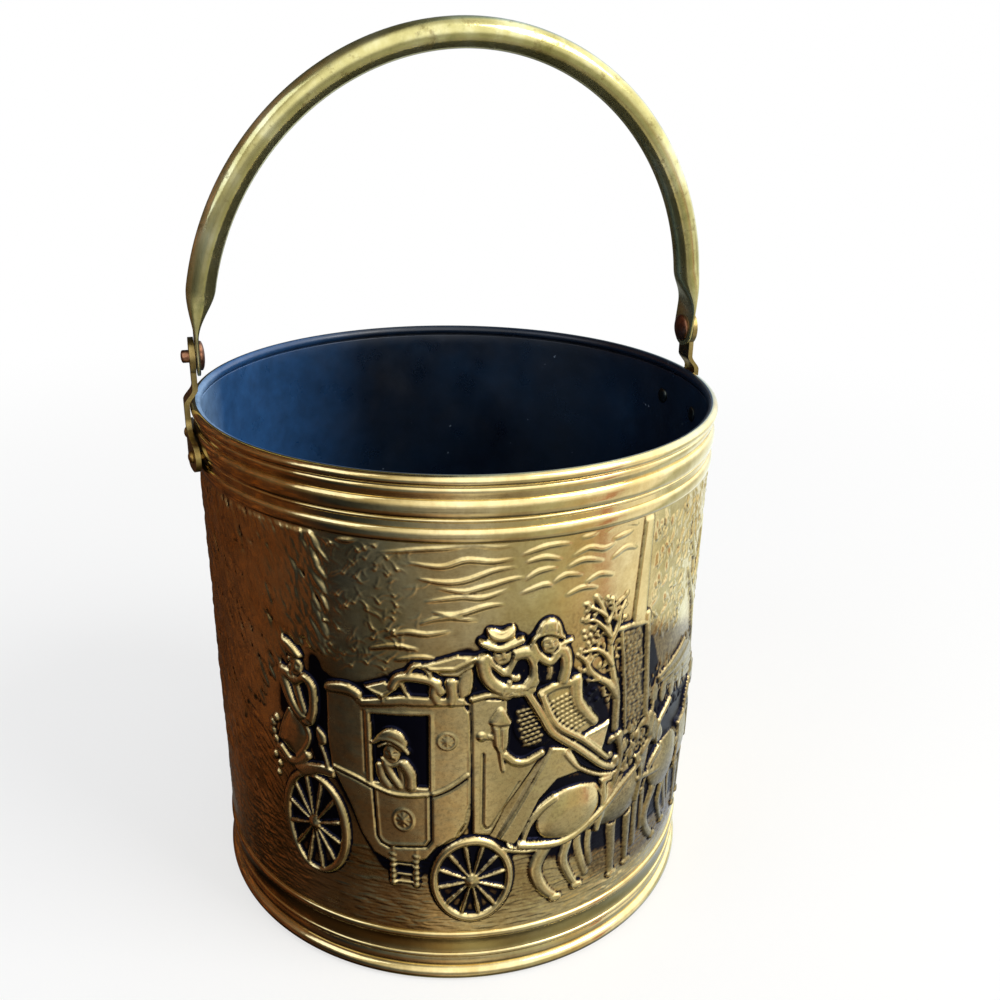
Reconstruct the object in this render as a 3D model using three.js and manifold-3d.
// Coal scuttle: an embossed brass bucket with a black steel liner and a swinging bail.
// Millimetres, +Z up. The origin is on the floor under the middle of the bucket. The bail's
// pivots lie along X. The embossed scene faces -Y, and the same scene is pressed on the back.
import * as THREE from 'three';
import { mergeVertices } from 'three/addons/utils/BufferGeometryUtils.js';
import Module from 'manifold-3d';

const wasm = await Module();
wasm.setup();

// ---------------------------------------------------------------------------------------------
// Driving dimensions

const facets = 36; // flats round the bucket, a multiple of four
const gap = 0.3; // clearance between pieces that rest on one another

const brassSheet = 0.8; // thickness of the pressed brass
const steelSheet = 0.8; // thickness of the liner

const bodyHeight = 257.4; // floor to the top of the rim
const topRadius = 124.9; // outside of the wall just under the rim
const wallTaper = 1.5; // how much narrower the wall is at the floor
const rimRollRadius = 2.5; // outside of the roll at the rim
const footRollRadius = 3.7; // outside of the roll at the foot
const footRollInset = 1.26; // middle of the foot roll, inside the wall's outer face

// Mouldings rolled into the wall: middle, half height and how far they stand out.
// Those of the foot are measured up from the floor, and those of the top down from the rim.
const footRidge = { middle: 14.1, half: 1.4, proud: 0.9 };
const footBead = { middle: 26, half: 2, proud: 1.1 };
const lowerBead = { middle: 26.1, half: 3.3, proud: 1.4 };
const fineRidge = { middle: 19.5, half: 0.9, proud: 0.6 };
const upperBead = { middle: 14.6, half: 4.2, proud: 1.7 };
const fascia = { middle: 7.9, half: 2.1, proud: 0.5 };

const seamWidth = 7; // lap of the rolled sheet
const seamThickness = 0.5; // how far the lap stands out

const floorHeight = 13; // top face of the liner's bottom
const linerTopDepth = 0.4; // the liner's edge below the rim roll

const pivotRise = 21.8; // pivots above the top of the rim
const bailRise = 138.6; // top of the bail's centre line above the pivots
const bailLean = 9; // degrees that the bail leans towards the front at rest
const tubeRadius = 6.4; // outside of the bail's tube
const tubeWall = 0.8;
const tubeSlot = 0.3; // bore left between the walls of a flattened end
const straightLeg = 6.4; // height above the pivots where the arch begins
const flattenStart = 32; // height above the pivots where the tube begins to flatten
const tabRadius = 9.2; // rounded end of the flattened tube
const tabInset = 5.3; // middle of the tab, inside the rim's outer edge
const tabOffset = 1.6; // middle of the tab, outside the tube's centre line

const earThickness = 2.4;
const earHeadRadius = 8.6;
const earNeck = 5.6; // half width where the ear passes the rim
const earLobe = 7; // radius of the foot round each rivet
const crankHeight = 7.4; // height in which the ear steps in over the rim
const earRivetReach = 17.8; // along the wall, from the ear's middle to each rivet
const earRivetDepth = 19.9; // below the top of the rim
const earRivetShank = 1.9;
const earRivetHead = 2.8; // radius of the outer head
const earRivetHeadHeight = 1.9;
const earRivetTail = 4; // radius of the head inside the bucket
const earRivetTailHeight = 1.1;

const pivotShank = 2.4;
const pivotHead = 6.7; // radius of the broad head inside the bail
const pivotHeadHeight = 2.2;
const pivotPeen = 2.9; // radius of the riveted end outside the ear
const pivotPeenHeight = 3.6;

// The embossed scene: how deep its forms are rooted in the sheet, and how far they stand out.
const reliefRoot = 0.4;
const lowRelief = 0.9; // scenery
const midRelief = 1.4; // vehicle, animals and luggage
const highRelief = 2; // figures and wheels

// ---------------------------------------------------------------------------------------------
// Places that follow from them

const degrees = Math.PI / 180;
const rimCentre = bodyHeight - rimRollRadius;
const rimMiddle = topRadius - brassSheet / 2;
const rimRadius = rimMiddle + rimRollRadius;
const wallTop = bodyHeight - 2 * rimRollRadius;
const pivotHeight = bodyHeight + pivotRise;
const tabCentre = rimRadius - tabInset;
const bailHalfWidth = tabCentre - tabOffset;
const tabThickness = 2 * tubeWall + tubeSlot;
const tabInner = tabCentre - tabThickness / 2;
const earHeadPlane = tabCentre + tabThickness / 2 + gap;
const standsProud = Math.max(rimRadius, topRadius + upperBead.proud, topRadius + lowerBead.proud);
const earFootRadius = standsProud + gap;
const earRivetHeight = bodyHeight - earRivetDepth;
const earRivetAngle = earRivetReach / earFootRadius;
const panelFoot = footBead.middle + footBead.half;
const panelTop = bodyHeight - lowerBead.middle - lowerBead.half;
const sceneRadius = topRadius - wallTaper / 2;

// Outside of the plain wall at a height.
function wallRadius(z) {
  return topRadius - wallTaper * (1 - z / bodyHeight);
}

// ---------------------------------------------------------------------------------------------
// Materials

const polishedBrass = new THREE.MeshStandardMaterial({ color: 0xb08d4a, roughness: 0.28, metalness: 1 });
const castBrass = new THREE.MeshStandardMaterial({ color: 0x9c7c42, roughness: 0.38, metalness: 1 });
const copperedRivet = new THREE.MeshStandardMaterial({ color: 0x8f5f3e, roughness: 0.45, metalness: 1 });
const blackPaint = new THREE.MeshStandardMaterial({ color: 0x12202f, roughness: 0.35, metalness: 0 });
const plainSteel = new THREE.MeshStandardMaterial({ color: 0x6f7274, roughness: 0.5, metalness: 1 });

// ---------------------------------------------------------------------------------------------
// Meshes and solids

// A geometry from loose triangles, each a list of three points.
function fromTriangles(triangles) {
  const geometry = new THREE.BufferGeometry();
  const numbers = triangles.flatMap((triangle) => triangle.flatMap((p) => [p.x, p.y, p.z]));
  geometry.setAttribute('position', new THREE.Float32BufferAttribute(numbers, 3));
  return geometry;
}

// The loose triangles of a geometry.
function toTriangles(geometry) {
  const loose = geometry.index ? geometry.toNonIndexed() : geometry;
  const position = loose.getAttribute('position');
  const triangles = [];
  for (let i = 0; i < position.count; i += 3) {
    triangles.push([0, 1, 2].map((k) => new THREE.Vector3().fromBufferAttribute(position, i + k)));
  }
  return triangles;
}

// A closed body that can be joined and cut, with its faces turned outwards.
function solid(geometry) {
  const bare = geometry.clone();
  bare.deleteAttribute('normal');
  bare.deleteAttribute('uv');
  const merged = mergeVertices(bare, 1e-4);
  const points = merged.getAttribute('position').array;
  const index = merged.index.array;
  const corners = [];
  let volume = 0;
  for (let i = 0; i < index.length; i += 3) {
    const [a, b, c] = [index[i], index[i + 1], index[i + 2]];
    if (a === b || b === c || c === a) continue;
    corners.push(a, b, c);
    const [p, q, r] = [a, b, c].map((k) => new THREE.Vector3().fromArray(points, 3 * k));
    volume += p.dot(q.cross(r));
  }
  if (volume < 0) corners.reverse();
  return new wasm.Manifold(
    new wasm.Mesh({ numProp: 3, vertProperties: points, triVerts: new Uint32Array(corners) }),
  );
}

function geometryOf(body) {
  const mesh = body.getMesh();
  const geometry = new THREE.BufferGeometry();
  geometry.setAttribute('position', new THREE.BufferAttribute(mesh.vertProperties, 3));
  geometry.setIndex(new THREE.BufferAttribute(mesh.triVerts, 1));
  geometry.computeVertexNormals();
  return geometry;
}

function join(bodies) {
  return bodies.reduce((all, body) => all.add(body));
}

function cut(body, tools) {
  return tools.reduce((rest, tool) => rest.subtract(tool), body);
}

// A closed profile of [radius, height] points turned about Z.
function turned(profile, steps = facets) {
  const points = [...profile, profile[0]].map(([radius, z]) => new THREE.Vector2(radius, z));
  return solid(new THREE.LatheGeometry(points, steps).rotateX(Math.PI / 2));
}

// Points on an arc from one angle to another, in degrees.
function arc(centreX, centreY, radius, from, to, steps) {
  return Array.from({ length: steps + 1 }, (_, i) => {
    const angle = (from + ((to - from) * i) / steps) * degrees;
    return [centreX + radius * Math.cos(angle), centreY + radius * Math.sin(angle)];
  });
}

// A pin along the radius of the bucket: profile of [radius, distance out] turned about that line.
function pinAt(profile, angle, height, steps) {
  const points = [...profile, profile[0]].map(([radius, out]) => new THREE.Vector2(radius, out));
  const pin = new THREE.LatheGeometry(points, steps).rotateZ(-Math.PI / 2);
  return solid(pin.rotateZ(angle).translate(0, 0, height));
}

// Cuts triangles where they cross the given levels of one axis, so that a flat form can bend.
function splitAt(geometry, axis, levels) {
  let triangles = toTriangles(geometry);
  for (const level of levels) {
    triangles = triangles.flatMap((triangle) => splitTriangle(triangle, axis, level));
  }
  return fromTriangles(triangles);
}

function splitTriangle(triangle, axis, level) {
  const sides = triangle.map((p) => Math.sign(Math.abs(p[axis] - level) < 1e-5 ? 0 : p[axis] - level));
  if (!(sides.includes(1) && sides.includes(-1))) return [triangle];
  const below = [];
  const above = [];
  triangle.forEach((p, i) => {
    const q = triangle[(i + 1) % 3];
    if (sides[i] <= 0) below.push(p);
    if (sides[i] >= 0) above.push(p);
    if (sides[i] * sides[(i + 1) % 3] < 0) {
      const [low, high] = p[axis] < q[axis] ? [p, q] : [q, p];
      const crossing = low.clone().lerp(high, (level - low[axis]) / (high[axis] - low[axis]));
      crossing[axis] = level;
      below.push(crossing);
      above.push(crossing);
    }
  });
  return [below, above].flatMap((ring) => ring.slice(2).map((p, i) => [ring[0], ring[i + 1], p]));
}

// Moves every point of a geometry by a rule.
function bend(geometry, rule) {
  return fromTriangles(toTriangles(geometry).map((triangle) => triangle.map(rule)));
}

function ease(t) {
  const clamped = Math.min(Math.max(t, 0), 1);
  return clamped * clamped * (3 - 2 * clamped);
}

function mix(a, b, t) {
  return a + (b - a) * t;
}

// ---------------------------------------------------------------------------------------------
// Outer shell: the sheet with its mouldings, rolled at the rim and the foot

// The outer face of one moulding, from its lower to its upper edge.
function bead({ middle, half, proud }, steps) {
  return Array.from({ length: steps + 1 }, (_, i) => {
    const angle = (Math.PI * i) / steps;
    return { z: middle - half * Math.cos(angle), proud: proud * Math.sin(angle) };
  });
}

// Mouldings of the top are measured from the rim.
function fromRim(moulding) {
  return { ...moulding, middle: bodyHeight - moulding.middle };
}

function shellProfile() {
  const flat = fromRim(fascia);
  const step = fascia.proud / 2;
  const outer = [
    ...bead(footRidge, 2),
    ...bead(footBead, 3),
    ...bead(fromRim(lowerBead), 4),
    ...bead(fromRim(fineRidge), 2),
    ...bead(fromRim(upperBead), 4),
    { z: flat.middle - flat.half - 1.2, proud: step },
    { z: flat.middle - flat.half, proud: step },
    { z: flat.middle - flat.half, proud: fascia.proud },
    { z: flat.middle + flat.half, proud: fascia.proud },
  ];
  const inner = [
    ...bead(footBead, 2),
    ...bead(fromRim(lowerBead), 2),
    ...bead(fromRim(upperBead), 2),
  ].reverse();

  // The rim roll starts on the wall, turns outwards and over, and ends above the liner.
  const rimIn = rimRollRadius - brassSheet;
  const rimOutside = [
    ...arc(rimMiddle, rimCentre, rimRollRadius, -80, 90, 4),
    ...arc(rimMiddle, rimCentre, rimRollRadius, 90, 244, 4).slice(1),
  ];
  const rimInside = arc(rimMiddle, rimCentre, rimIn, 244, -90, 5);

  // The foot roll turns outwards and under, with a flat to stand on, and ends inside the wall.
  const footMiddle = wallRadius(0) - footRollInset;
  const footIn = footRollRadius - brassSheet;
  const restAngle = 18;
  const footCentre = footRollRadius * Math.cos(restAngle * degrees);
  const footOutside = [
    ...arc(footMiddle, footCentre, footRollRadius, -255, -90 - restAngle, 4),
    ...arc(footMiddle, footCentre, footRollRadius, -90 + restAngle, 70, 4),
  ];
  const footInside = arc(footMiddle, footCentre, footIn, 80, -255, 4);

  return [
    ...footOutside,
    ...outer.map(({ z, proud }) => [wallRadius(z) + proud, z]),
    ...rimOutside,
    ...rimInside,
    ...inner.map(({ z, proud }) => [wallRadius(z) + proud - brassSheet, z]),
    ...footInside,
  ];
}

// A point of the flat scene on the bucket: distance along the wall, height and relief.
function onWall(point) {
  const facetArc = (2 * Math.PI * sceneRadius) / facets;
  const facetAngle = (2 * Math.PI) / facets;
  const facet = Math.floor(point.x / facetArc + 1e-6);
  const share = point.x / facetArc - facet;
  const start = facet * facetAngle - Math.PI / 2;
  const radius = wallRadius(point.y) + point.z;
  return new THREE.Vector3(
    radius * mix(Math.cos(start), Math.cos(start + facetAngle), share),
    radius * mix(Math.sin(start), Math.sin(start + facetAngle), share),
    point.y,
  );
}

function wrap(flat) {
  const facetArc = (2 * Math.PI * sceneRadius) / facets;
  const half = facets / 4;
  const levels = Array.from({ length: facets / 2 + 3 }, (_, i) => (i - half - 1) * facetArc);
  return solid(bend(splitAt(geometryOf(flat), 'x', levels), onWall)).simplify(0.1);
}

// ---------------------------------------------------------------------------------------------
// The embossed scene, drawn flat. x runs along the wall from the middle of the front, y is the
// height above the floor, and z is the relief. Places are in [along, above the panel's foot].

// A form raised from an outline of [along, above the panel's foot] places.
function raised(points, relief, holes = []) {
  const place = ([x, y]) => new THREE.Vector2(x, panelFoot + y);
  const shape = new THREE.Shape(points.map(place));
  shape.holes = holes.map((hole) => new THREE.Path(hole.map(place)));
  const form = new THREE.ExtrudeGeometry(shape, { depth: relief + reliefRoot, bevelEnabled: false });
  return solid(form.translate(0, 0, -reliefRoot));
}

// A straight rib between two places.
function rib([x0, y0], [x1, y1], width, relief) {
  const length = Math.hypot(x1 - x0, y1 - y0);
  const [across, up] = [((y0 - y1) / length) * (width / 2), ((x1 - x0) / length) * (width / 2)];
  const corners = [
    [x0 - across, y0 - up],
    [x1 - across, y1 - up],
    [x1 + across, y1 + up],
    [x0 + across, y0 + up],
  ];
  return raised(corners, relief);
}

// Ribs along a path.
function ribs(path, width, relief) {
  return path.slice(1).map((place, i) => rib(path[i], place, width, relief));
}

function ellipse([x, y], halfWidth, halfHeight, steps) {
  return Array.from({ length: steps }, (_, i) => {
    const angle = (2 * Math.PI * (i + 0.5)) / steps;
    return [x + halfWidth * Math.cos(angle), y + halfHeight * Math.sin(angle)];
  });
}

// A low mound, such as a head or a hub.
function mound([x, y], halfWidth, halfHeight, relief, sides = 8) {
  const cone = new THREE.CylinderGeometry(0.55, 1.05, relief + reliefRoot, sides, 1);
  const upright = cone.rotateX(Math.PI / 2).scale(halfWidth, halfHeight, 1);
  return solid(upright.translate(x, panelFoot + y, (relief - reliefRoot) / 2));
}

const spokeCount = 12;
const spokeWidth = 1.5;
const wheelRim = 3.8; // width of a wheel's rim
const hubRadius = 3.4;

// A wheel is one raised form with the openings between its spokes left out.
function wheel(centre, halfWidth, halfHeight) {
  const [x, y] = centre;
  const openings = Array.from({ length: spokeCount }, (_, i) => {
    const angle = (2 * Math.PI * i) / spokeCount;
    const spread = Math.PI / spokeCount - spokeWidth / 2 / (halfWidth - wheelRim);
    const inner = [x + hubRadius * Math.cos(angle), y + hubRadius * Math.sin(angle)];
    const outer = [spread, -spread].map((turn) => [
      x + (halfWidth - wheelRim) * Math.cos(angle + turn),
      y + (halfHeight - wheelRim) * Math.sin(angle + turn),
    ]);
    return [...outer, inner];
  });
  const disc = raised(ellipse(centre, halfWidth, halfHeight, 12), midRelief, openings);
  return [disc, mound(centre, hubRadius, hubRadius, highRelief, 6)];
}

// A figure: the outline of the body, then a head and a brimmed hat.
function figure(body, [x, y], hatWidth) {
  return [
    raised(body, highRelief),
    mound([x, y], 4, 5, highRelief, 6),
    rib([x - hatWidth, y + 3.8], [x + hatWidth, y + 4.4], 2, highRelief),
    mound([x, y + 6], hatWidth * 0.7, 4.4, highRelief, 4),
  ];
}

function coach() {
  const body = [
    [-91.5, 127], [-92, 86], [-88, 79], [-81, 66], [-76.5, 53], [-70, 43.5], [-62, 40.5],
    [-48, 41], [-41, 51], [-33, 56], [-28, 68], [-27.5, 118], [-32, 126.5], [-75, 124], [-79, 129.5],
  ];
  const window = [[-70, 83], [-45.5, 82], [-45.5, 119], [-70, 118]];
  const door = [[-70, 79], [-44.5, 78.5], [-44.5, 54], [-47, 51], [-56.5, 49], [-67, 49.5]];
  return [
    raised(body, midRelief, [window]),
    raised(door, highRelief),
    rib([-62, 48], [-62, 27.5], 1.6, midRelief),
    rib([-51.5, 46], [-51.5, 27.5], 1.6, midRelief),
    raised([[-66, 82], [-65, 92], [-56, 91], [-51.5, 82]], midRelief),
    mound([-61, 98], 4.2, 5.5, midRelief, 6),
    mound([-62, 105], 7.6, 4.8, highRelief, 4),
  ];
}

function luggage() {
  return [
    raised([[-73.5, 130], [-65, 124.5], [-58, 130], [-64, 135]], midRelief),
    raised([[-60, 126], [-57, 138], [-44, 138], [-40, 126]], midRelief),
    raised([[-50, 139], [-27, 140], [-27, 148], [-44, 147]], highRelief),
  ];
}

function driversSeat() {
  const boot = [
    [-26, 127], [-27.5, 60], [-18.5, 54], [10, 102], [2, 108], [-8, 99], [-16, 99], [-16, 122],
  ];
  const dash = [[-15, 53], [-6.5, 50.5], [3, 70.5], [22, 80], [20, 88], [11, 99]];
  const basket = [[-8.5, 128], [-8, 101], [15, 101], [29.5, 104.5], [19, 130]];
  return [
    raised(boot, midRelief),
    raised(dash, highRelief),
    raised(basket, midRelief),
    raised([[15, 98], [39, 102.5], [35.5, 84]], midRelief),
    rib([3, 116], [35, 75], 2.6, highRelief),
  ];
}

// A draught horse: tail, back, neck and head, forelegs, belly and hind legs.
function horse(x) {
  const outline = [
    [0, 52], [9, 67], [26, 70], [52, 68], [59, 82], [66, 93], [77, 78], [67, 76], [57, 52],
    [56.5, 15], [53, 15], [50, 45], [47.5, 11.5], [43.5, 11.5], [44, 45], [31, 50],
    [22.5, 17], [19, 17], [16, 46], [6, 31], [14.5, 12], [10, 12], [2, 31], [6.5, 50],
  ];
  return raised(outline.map(([along, up]) => [x + along, up]), midRelief);
}

function tree([x, y]) {
  const outline = [[-1.4, 0], [-3, 40], [-8, 62], [-3, 52], [6, 62], [1.4, 0]];
  const bough = (rise, reach) => rib([x - 2.4, y + rise], [x - 2.4 - reach, y + rise + reach], 1.6, lowRelief);
  return [
    raised(outline.map(([along, up]) => [x + along, y + up]), lowRelief),
    bough(24, 18),
    bough(36, 16),
  ];
}

function scenery() {
  const church = [[43, 92], [61, 92], [59, 148.5], [55.3, 199], [50, 148.5], [42, 148.5]];
  return [
    raised(church, lowRelief),
    raised([[72, 104], [86, 123], [108, 106]], lowRelief),
    ...tree([42, 94]),
  ];
}

function scene() {
  const guard = [
    [-120, 91], [-116, 83], [-108, 84], [-100, 106], [-101, 127], [-112, 129],
  ];
  const driver = [[-24, 143], [-19, 129], [0.5, 128], [-4, 149], [-20, 149]];
  const companion = [[0, 128], [15, 128], [12, 148], [2, 149]];
  return join([
    ...scenery(),
    ...coach(),
    ...luggage(),
    ...driversSeat(),
    ...wheel([-102, 50], 20, 30),
    ...wheel([-26.3, 31], 19.3, 24.5),
    ...figure(guard, [-107.5, 133], 5),
    ...figure(driver, [-14.5, 149], 6.5),
    ...figure(companion, [6.5, 151.5], 5),
    horse(0),
    horse(62),
    ...ribs([[-6, 50], [30, 52], [112, 62]], 1.8, highRelief),
  ]);
}

function outerShell() {
  const front = wrap(scene());
  const seam = new THREE.Shape([
    new THREE.Vector2(-seamWidth / 2, panelFoot),
    new THREE.Vector2(seamWidth / 2, panelFoot),
    new THREE.Vector2(seamWidth / 2, panelTop),
    new THREE.Vector2(-seamWidth / 2, panelTop),
  ]);
  const quarter = (Math.PI / 2) * sceneRadius;
  const lap = new THREE.ExtrudeGeometry(seam, { depth: seamThickness + reliefRoot, bevelEnabled: false });
  const seamStrip = wrap(solid(lap.translate(quarter, 0, -reliefRoot)));
  const holes = rivetPlaces().map(({ angle }) => rivetHole(angle));
  return cut(join([turned(shellProfile()), front, front.rotate([0, 0, 180]), seamStrip]), holes);
}

// ---------------------------------------------------------------------------------------------
// Liner and rim wire

function shellInside(z) {
  return wallRadius(z) - brassSheet;
}

function linerOutside(z) {
  return shellInside(z) - gap;
}

function linerInside(z) {
  return linerOutside(z) - steelSheet;
}

const linerFoot = footRollRadius * (1 + Math.cos(18 * degrees)) + gap;
const linerTop = wallTop - linerTopDepth;

function linerWall() {
  const profile = [
    [linerInside(linerFoot), linerFoot],
    [linerOutside(linerFoot), linerFoot],
    [linerOutside(linerTop), linerTop],
    [linerInside(linerTop), linerTop],
  ];
  return cut(turned(profile), rivetPlaces().map(({ angle }) => rivetHole(angle)));
}

// The bottom is a dish upside down: its turned-down edge stands inside the liner's wall.
function linerFloor() {
  const edge = linerInside(linerFoot) - gap;
  const corner = 2;
  const under = floorHeight - steelSheet;
  return turned([
    [0, floorHeight],
    [0, under],
    [edge - corner, under],
    [edge - steelSheet, floorHeight - corner],
    [edge - steelSheet, linerFoot],
    [edge, linerFoot],
    [edge, floorHeight - corner],
    [edge - corner + steelSheet / 2, floorHeight],
  ]);
}

function rimWire() {
  const wire = rimRollRadius - brassSheet - gap;
  return turned(arc(rimMiddle, rimCentre, wire, 0, 288, 4));
}

// ---------------------------------------------------------------------------------------------
// Ears and their rivets

// Radius of the ear's inner face: it lies on the wall, passes the rim and steps in above it.
function earInner(z) {
  return mix(earFootRadius, earHeadPlane, ease((z - bodyHeight - gap) / crankHeight));
}

function earPoint(point) {
  const radius = earInner(point.y) + point.z;
  const round = ease((bodyHeight + crankHeight - point.y) / (crankHeight + rimRollRadius));
  const angle = point.x / earFootRadius;
  return new THREE.Vector3(
    mix(radius, radius * Math.cos(angle), round),
    mix(point.x, radius * Math.sin(angle), round),
    point.y,
  );
}

function earOutline() {
  const reach = earRivetReach;
  const shoulder = bodyHeight - 2.2 * rimRollRadius;
  const meet = Math.acos(earNeck / earHeadRadius);
  const lobeTop = earRivetHeight + earLobe;
  const lobeFoot = earRivetHeight - earLobe;
  const shape = new THREE.Shape();
  shape.absarc(0, pivotHeight, earHeadRadius, -meet, Math.PI + meet, false);
  shape.lineTo(-earNeck, shoulder);
  shape.quadraticCurveTo(-earNeck, lobeTop + 1, -reach, lobeTop);
  shape.absarc(-reach, earRivetHeight, earLobe, Math.PI / 2, (3 * Math.PI) / 2, false);
  shape.quadraticCurveTo(0, lobeFoot - 2, reach, lobeFoot);
  shape.absarc(reach, earRivetHeight, earLobe, -Math.PI / 2, Math.PI / 2, false);
  shape.quadraticCurveTo(earNeck, lobeTop + 1, earNeck, shoulder);
  const rivetHoles = [-reach, reach].map((x) =>
    new THREE.Path().absarc(x, earRivetHeight, earRivetShank + gap, 0, 2 * Math.PI, true));
  shape.holes = [
    new THREE.Path().absarc(0, pivotHeight, pivotShank + gap, 0, 2 * Math.PI, true),
    ...rivetHoles,
  ];
  return shape;
}

function ear() {
  const plate = new THREE.ExtrudeGeometry(earOutline(), {
    depth: earThickness,
    bevelEnabled: false,
    curveSegments: 4,
  });
  const reach = earRivetReach + earLobe;
  const across = Array.from({ length: 3 }, (_, i) => ((i - 1) * reach) / 1.8);
  const crank = [0, 0.3, 0.7, 1].map((share) => bodyHeight + gap + crankHeight * share);
  const split = splitAt(splitAt(plate, 'y', crank), 'x', across);
  return solid(bend(split, earPoint));
}

function rivetPlaces() {
  return [
    { name: 'right_front', angle: -earRivetAngle },
    { name: 'right_back', angle: earRivetAngle },
    { name: 'left_back', angle: Math.PI - earRivetAngle },
    { name: 'left_front', angle: Math.PI + earRivetAngle },
  ];
}

function rivetHole(angle) {
  const radius = earRivetShank + gap;
  const near = linerInside(earRivetHeight) - 4 * steelSheet;
  const far = earFootRadius + earThickness;
  return pinAt([[0, near], [radius, near], [radius, far], [0, far]], angle, earRivetHeight, 8);
}

// A round head on the ear, a shank through ear, brass and liner, and a broad head inside.
function earRivet(angle) {
  const seat = earFootRadius + earThickness + gap;
  const tail = linerInside(earRivetHeight) * Math.cos(Math.PI / facets) - gap;
  const profile = [
    [0, tail - earRivetTailHeight],
    [earRivetTail * 0.6, tail - earRivetTailHeight],
    [earRivetTail, tail - earRivetTailHeight * 0.3],
    [earRivetTail, tail],
    [earRivetShank, tail],
    [earRivetShank, seat],
    [earRivetHead, seat],
    [earRivetHead * 0.85, seat + earRivetHeadHeight * 0.6],
    [0, seat + earRivetHeadHeight],
  ];
  return pinAt(profile, angle, earRivetHeight, 10);
}

// The bail turns on this rivet: a broad low head inside the tab, a peened end outside the ear.
function pivotRivet(angle) {
  const headFace = tabInner - gap;
  const seat = earHeadPlane + earThickness + gap;
  const profile = [
    [0, headFace - pivotHeadHeight],
    [pivotHead * 0.55, headFace - pivotHeadHeight * 0.85],
    [pivotHead, headFace - pivotHeadHeight * 0.3],
    [pivotHead, headFace],
    [pivotShank, headFace],
    [pivotShank, seat],
    [pivotPeen, seat],
    [pivotPeen, seat + pivotPeenHeight * 0.8],
    [pivotPeen * 0.7, seat + pivotPeenHeight],
    [0, seat + pivotPeenHeight],
  ];
  return pinAt(profile, angle, pivotHeight, 12);
}

// ---------------------------------------------------------------------------------------------
// Bail: one tube, arched, with both ends pressed flat and rounded off round the pivots.
// It is drawn upright with the pivots at height 0.

const ringPoints = 8;
const archSteps = 18;
const legSteps = 4;

// Stations from the right-hand tab's end to the middle of the arch.
function bailStations() {
  const tabTop = 1.1 * tabRadius;
  const archRise = bailRise - straightLeg;
  const archX = (height) => bailHalfWidth * Math.sqrt(1 - (Math.max(height - straightLeg, 0) / archRise) ** 2);
  const stations = [75, 58, 35, 0].map((turn) => ({
    x: tabCentre,
    z: -tabRadius * Math.sin(turn * degrees),
    thick: tabThickness / 2,
    wide: tabRadius * Math.cos(turn * degrees),
  }));
  for (let i = 0; i <= legSteps; i += 1) {
    const z = mix(tabTop, flattenStart, i / legSteps);
    const open = ease(i / legSteps);
    stations.push({
      x: mix(tabCentre, archX(z), open),
      z,
      thick: mix(tabThickness / 2, tubeRadius, open),
      wide: mix(tabRadius, tubeRadius, open),
    });
  }
  const first = Math.asin((flattenStart - straightLeg) / archRise);
  for (let i = 1; i <= archSteps / 2; i += 1) {
    const angle = mix(first, Math.PI / 2, i / (archSteps / 2));
    stations.push({
      x: bailHalfWidth * Math.cos(angle),
      z: straightLeg + archRise * Math.sin(angle),
      thick: tubeRadius,
      wide: tubeRadius,
    });
  }
  return stations;
}

// One ring of the tube, square to its path; inset 0 is the outside and tubeWall the bore.
function bailRing(stations, i, inset) {
  const { x, z, thick, wide } = stations[i];
  const before = stations[Math.max(i - 1, 0)];
  const after = stations[Math.min(i + 1, stations.length - 1)];
  const along = new THREE.Vector2(after.x - before.x, after.z - before.z).normalize();
  const flatness = 1 - thick / tubeRadius;
  const power = 1 / (1 + flatness);
  return Array.from({ length: ringPoints }, (_, k) => {
    const angle = (2 * Math.PI * (k + 0.5)) / ringPoints;
    const round = (value) => Math.sign(value) * Math.abs(value) ** power;
    const out = (thick - inset) * round(Math.cos(angle));
    const side = (wide - inset) * round(Math.sin(angle));
    return new THREE.Vector3(x + along.y * out, side, z - along.x * out);
  });
}

function bail() {
  const half = bailStations();
  const mirrored = half.slice(0, -1).reverse().map((station) => ({ ...station, x: -station.x }));
  const stations = [...half, ...mirrored];
  const outside = stations.map((_, i) => bailRing(stations, i, 0));
  const bore = stations.map((_, i) => bailRing(stations, i, tubeWall)).reverse();
  const rings = [...outside, ...bore];
  const triangles = rings.flatMap((ring, i) => {
    const next = rings[(i + 1) % rings.length];
    return ring.flatMap((p, k) => {
      const q = ring[(k + 1) % ringPoints];
      const r = next[(k + 1) % ringPoints];
      const s = next[k];
      return [[p, q, r], [p, r, s]];
    });
  });
  const near = tabInner - tubeRadius;
  const far = tabCentre + tubeRadius;
  const radius = pivotShank + gap;
  const hole = [[0, near], [radius, near], [radius, far], [0, far]];
  return cut(solid(fromTriangles(triangles)), [pinAt(hole, 0, 0, 12), pinAt(hole, Math.PI, 0, 12)]);
}

// ---------------------------------------------------------------------------------------------
// The scuttle

const group = new THREE.Group();

function add(parent, name, body, material) {
  const mesh = new THREE.Mesh(geometryOf(body), material);
  mesh.name = name;
  parent.add(mesh);
}

add(group, 'outer_shell', outerShell(), polishedBrass);
add(group, 'rim_wire', rimWire(), plainSteel);
add(group, 'liner_wall', linerWall(), blackPaint);
add(group, 'liner_floor', linerFloor(), blackPaint);
add(group, 'ear_right', ear(), castBrass);
add(group, 'ear_left', ear().rotate([0, 0, 180]), castBrass);
add(group, 'pivot_rivet_right', pivotRivet(0), copperedRivet);
add(group, 'pivot_rivet_left', pivotRivet(Math.PI), copperedRivet);
for (const { name, angle } of rivetPlaces()) {
  add(group, `ear_rivet_${name}`, earRivet(angle), castBrass);
}

const bailGroup = new THREE.Group();
bailGroup.position.z = pivotHeight;
bailGroup.rotation.x = bailLean * degrees;
add(bailGroup, 'bail_tube', bail(), polishedBrass);
group.add(bailGroup);

export default group;
